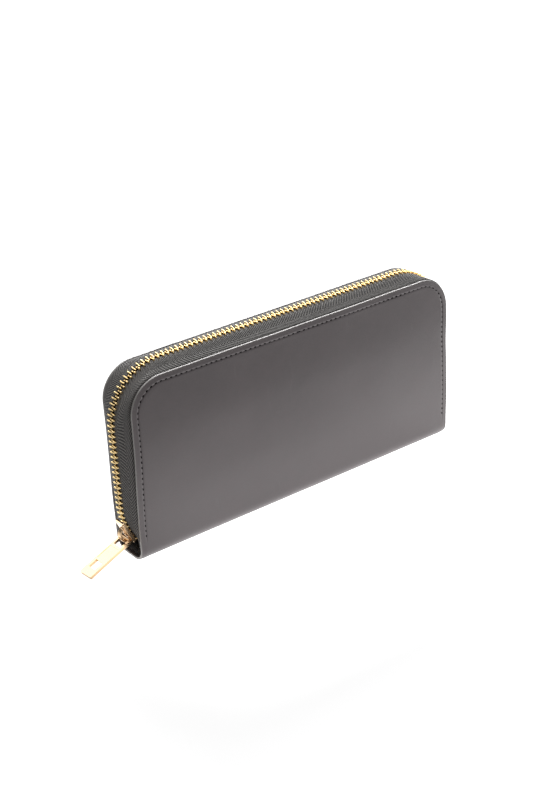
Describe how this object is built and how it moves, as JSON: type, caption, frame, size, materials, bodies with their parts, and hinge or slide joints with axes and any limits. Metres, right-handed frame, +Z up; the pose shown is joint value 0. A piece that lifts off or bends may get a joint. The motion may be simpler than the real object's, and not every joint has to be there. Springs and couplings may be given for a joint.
{
  "type": "zip around wallet",
  "caption": "Long leather zip around wallet standing on its spine, with card slots and note spaces on both sides and a zipped coin pouch in the middle.",
  "frame": {"origin": "centre of the flat strip of the spine that the wallet stands on", "axes": "+X along the wallet's length, with the slider at the -X end; +Y towards the back cover; +Z up"},
  "size_m": [0.2256, 0.026, 0.0983],
  "materials": {
    "cover_leather": "smooth, waxed, soft sheen",
    "inner_leather": "smooth, matt",
    "board": "matt",
    "lining_cloth": "fine twill",
    "zip_tape": "herringbone weave",
    "thread": "twisted thread",
    "zip_brass": "polished",
    "slider_gold": "light gold plate"
  },
  "bodies": {
    "spine": {"cover_spine": "cover_leather", "spine_lining": "lining_cloth", "coin_pouch": "inner_leather", "coin_zip_tape_front": "zip_tape", "coin_zip_tape_back": "zip_tape", "coin_zip_teeth_front": "zip_brass", "coin_zip_teeth_back": "zip_brass", "coin_zip_stop_left": "zip_brass", "coin_zip_stop_right": "zip_brass", "gusset_left_front": "lining_cloth", "gusset_left_back": "lining_cloth", "gusset_right_front": "lining_cloth", "gusset_right_back": "lining_cloth", "bottom_stop": "zip_brass"},
    "front_half": {"cover_front": "cover_leather", "cover_stitches_front": "thread", "stiffener_front": "board", "lining_front": "lining_cloth", "card_panel_front": "inner_leather", "card_slot_1_front": "inner_leather", "card_slot_2_front": "inner_leather", "card_slot_3_front": "inner_leather", "card_slot_4_front": "inner_leather", "zip_tape_front": "zip_tape", "zip_tape_front_slider_end": "zip_tape", "zip_tape_front_stop_end": "zip_tape", "zip_teeth_front": "zip_brass", "zip_teeth_front_slider_end": "zip_brass", "zip_teeth_front_stop_end": "zip_brass", "top_stop_front": "zip_brass"},
    "back_half": {"cover_back": "cover_leather", "cover_stitches_back": "thread", "stiffener_back": "board", "lining_back": "lining_cloth", "card_panel_back": "inner_leather", "card_slot_1_back": "inner_leather", "card_slot_2_back": "inner_leather", "card_slot_3_back": "inner_leather", "card_slot_4_back": "inner_leather", "zip_tape_back": "zip_tape", "zip_tape_back_slider_end": "zip_tape", "zip_tape_back_stop_end": "zip_tape", "zip_teeth_back": "zip_brass", "zip_teeth_back_slider_end": "zip_brass", "zip_teeth_back_stop_end": "zip_brass", "top_stop_back": "zip_brass"},
    "slider": {"slider_body": "slider_gold", "slider_bridge": "slider_gold", "slider_lock_spring": "slider_gold"},
    "pull": {"pull_tab": "slider_gold"},
    "coin_slider": {"coin_slider_body": "slider_gold", "coin_slider_bridge": "slider_gold"},
    "coin_pull": {"coin_pull_tab": "slider_gold"}
  },
  "joints": [
    {"name": "front_open", "type": "hinge", "parent": "spine", "child": "front_half", "pos_m": [0, -0.0044, 0.007], "axis": [1, 0, 0], "range_deg": [0, 50], "deforming": ["cover_spine", "spine_lining", "gusset_left_front", "gusset_right_front", "zip_tape_front_stop_end", "zip_teeth_front_stop_end", "zip_tape_front_slider_end", "zip_tape_back_slider_end", "zip_teeth_front_slider_end", "zip_teeth_back_slider_end", "top_stop_front"]},
    {"name": "back_open", "type": "hinge", "parent": "spine", "child": "back_half", "pos_m": [0, 0.0044, 0.007], "axis": [-1, 0, 0], "range_deg": [0, 50], "deforming": ["cover_spine", "spine_lining", "gusset_left_back", "gusset_right_back", "zip_tape_back_stop_end", "zip_teeth_back_stop_end", "zip_tape_front_slider_end", "zip_tape_back_slider_end", "zip_teeth_front_slider_end", "zip_teeth_back_slider_end", "top_stop_back"]},
    {"name": "slider_travel", "type": "hinge", "parent": "front_half", "child": "slider", "pos_m": [-0.0701, 0, 0.028], "axis": [0, 1, 0], "range_deg": [0, 25], "deforming": ["zip_tape_front_slider_end", "zip_tape_back_slider_end", "zip_teeth_front_slider_end", "zip_teeth_back_slider_end"]},
    {"name": "pull_swing", "type": "hinge", "parent": "slider", "child": "pull", "pos_m": [-0.09882, 0, 0.00986], "axis": [-0.0785, 0.9969, 0], "range_deg": [-60, 40]},
    {"name": "coin_slider_travel", "type": "slide", "parent": "spine", "child": "coin_slider", "axis": [1, 0, 0], "range_m": [0, 0.15], "deforming": ["coin_zip_teeth_front", "coin_zip_teeth_back", "coin_zip_tape_front", "coin_zip_tape_back"]},
    {"name": "coin_pull_swing", "type": "hinge", "parent": "coin_slider", "child": "coin_pull", "pos_m": [-0.0775, 0, 0.07735], "axis": [0, -1, 0], "range_deg": [0, 165]}
  ]
}
